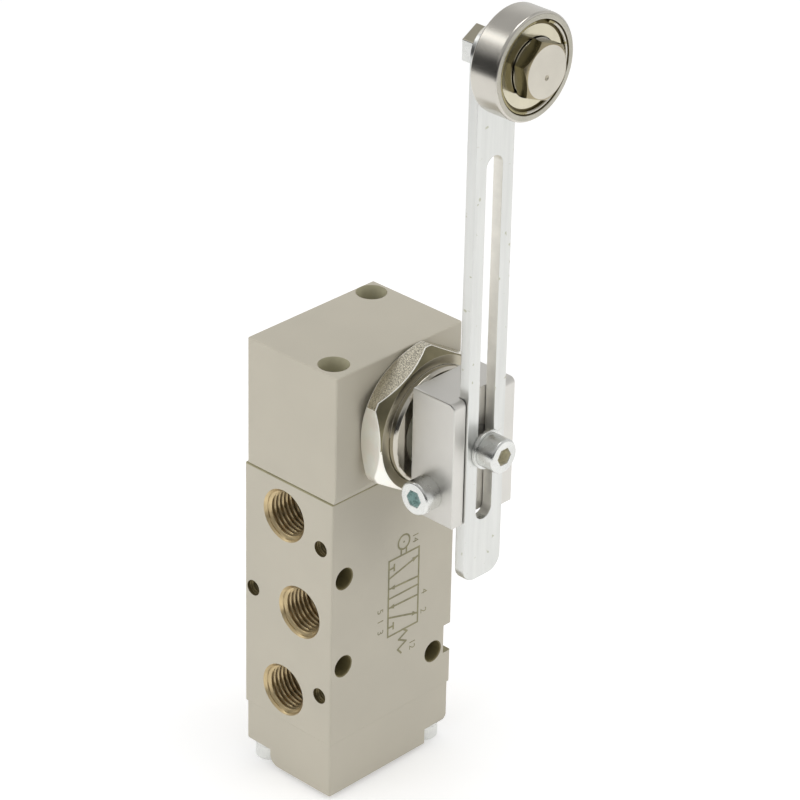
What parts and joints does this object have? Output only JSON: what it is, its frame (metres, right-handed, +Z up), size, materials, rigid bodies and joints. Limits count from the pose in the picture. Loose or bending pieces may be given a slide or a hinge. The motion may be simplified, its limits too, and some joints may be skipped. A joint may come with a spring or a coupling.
{
  "type": "roller lever valve",
  "caption": "Five-port spool valve with a spring return and a side shaft; a clamped slotted arm, adjustable in angle and length, carries a bearing as its roller.",
  "frame": {"origin": "centre of the block on the end cap's underside, on the spool's axis", "axes": "+Z up along the spool, +X towards the lever, -Y towards the three front ports"},
  "size_m": [0.0696, 0.0436, 0.215],
  "materials": {
    "lacquer": "satin beige-grey lacquer",
    "zinc_steel": "bright zinc plate",
    "nickel": "nickel plate",
    "block_aluminium": "satin, tumbled",
    "ground_steel": "ground",
    "bearing_steel": "polished",
    "spring_steel": "drawn wire",
    "bronze": "sintered bronze",
    "seal_rubber": "matt",
    "spacer_plastic": "moulded"
  },
  "bodies": {
    "valve": {"valve_body": "lacquer", "actuator_head": "lacquer", "end_cap": "lacquer", "head_screws": "zinc_steel", "cap_screws": "zinc_steel", "cap_washers": "zinc_steel", "head_seal": "seal_rubber", "cap_seal": "seal_rubber", "spacer_1": "spacer_plastic", "spacer_2": "spacer_plastic", "spacer_3": "spacer_plastic", "spacer_4": "spacer_plastic", "spacer_5": "spacer_plastic", "spool_seal_1": "seal_rubber", "spool_seal_2": "seal_rubber", "spool_seal_3": "seal_rubber", "spool_seal_4": "seal_rubber", "spool_seal_5": "seal_rubber", "spool_seal_6": "seal_rubber", "plunger_guide": "bronze", "plunger_wiper": "seal_rubber", "return_spring": "spring_steel", "stop_pin": "ground_steel", "thrust_washers": "ground_steel", "threaded_neck": "nickel", "shaft_bush": "bronze", "shaft_seal": "seal_rubber", "neck_nut": "nickel"},
    "spool": {"spool": "ground_steel", "plunger": "ground_steel"},
    "shaft": {"lever_shaft": "ground_steel", "cam": "ground_steel", "cam_pin": "ground_steel", "arm_screw": "zinc_steel", "arm_washer": "zinc_steel"},
    "clamp": {"clamp_block": "block_aluminium", "clamp_screw": "zinc_steel"},
    "arm": {"lever_arm": "zinc_steel", "roller_spacer": "zinc_steel", "roller_bolt": "nickel", "roller_nut": "zinc_steel", "bearing_inner_ring": "bearing_steel"},
    "roller": {"bearing_outer_ring": "bearing_steel", "front_shield": "bearing_steel", "rear_shield": "bearing_steel", "front_snap_wire": "bearing_steel", "rear_snap_wire": "bearing_steel"},
    "cage": {"bearing_cage": "bearing_steel", "bearing_balls": "bearing_steel"}
  },
  "joints": [
    {"name": "lever_swing", "type": "hinge", "parent": "valve", "child": "shaft", "pos_m": [0, 0.0043, 0.0995], "axis": [1, 0, 0], "range_deg": [0, 45]},
    {"name": "spool_slide", "type": "slide", "parent": "valve", "child": "spool", "axis": [0, 0, -1], "range_m": [0, 0.00338], "stiffness_N_per_m": 4580, "springref_m": -0.0052, "deforming": ["return_spring"]},
    {"name": "arm_angle", "type": "hinge", "parent": "shaft", "child": "clamp", "pos_m": [0.031, 0.0043, 0.0995], "axis": [1, 0, 0], "continuous": true},
    {"name": "arm_length", "type": "slide", "parent": "clamp", "child": "arm", "axis": [0, 0, 1], "range_m": [-0.073, 0.016]},
    {"name": "roller_spin", "type": "hinge", "parent": "arm", "child": "roller", "pos_m": [0.04711, 0.0043, 0.2008], "axis": [1, 0, 0], "continuous": true},
    {"name": "cage_spin", "type": "hinge", "parent": "arm", "child": "cage", "pos_m": [0.04711, 0.0043, 0.2008], "axis": [1, 0, 0], "continuous": true}
  ],
  "couplings": [
    {"joint": "lever_swing", "follows": "spool_slide", "rad_per_m": 232.56},
    {"joint": "cage_spin", "follows": "roller_spin", "ratio": 0.6322}
  ]
}
